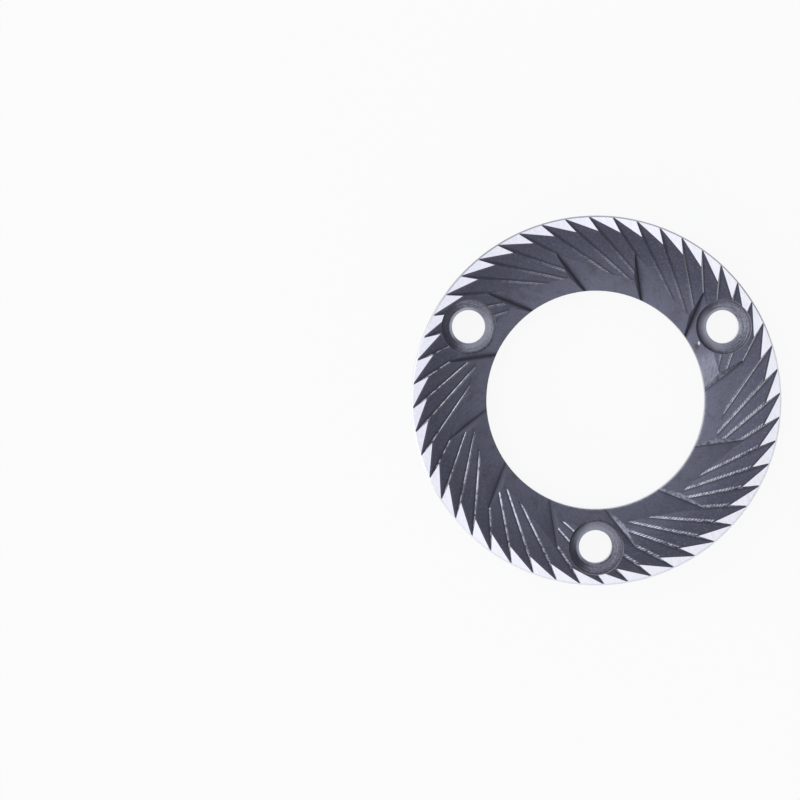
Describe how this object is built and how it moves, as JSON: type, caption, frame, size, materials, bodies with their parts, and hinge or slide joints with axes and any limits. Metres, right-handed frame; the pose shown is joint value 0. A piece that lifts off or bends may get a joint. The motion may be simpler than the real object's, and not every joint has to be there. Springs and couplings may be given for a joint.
{
  "type": "coffee grinder burr",
  "caption": "Flat steel grinding ring with slanted milled teeth, deeper breaker pockets at the bore, countersunk screw holes and a recessed back.",
  "frame": {"origin": "on the bore axis, in the plane of the back rim that the burr lies on", "axes": "+Z out of the toothed face along the bore axis, -Y through one of the screw holes"},
  "size_m": [0.064, 0.064, 0.009],
  "materials": {
    "tool_steel": "hardened tool steel, ground on the lands and the back, milled in the grooves"
  },
  "bodies": {
    "root": {"flat_burr": "tool_steel"}
  },
  "joints": []
}
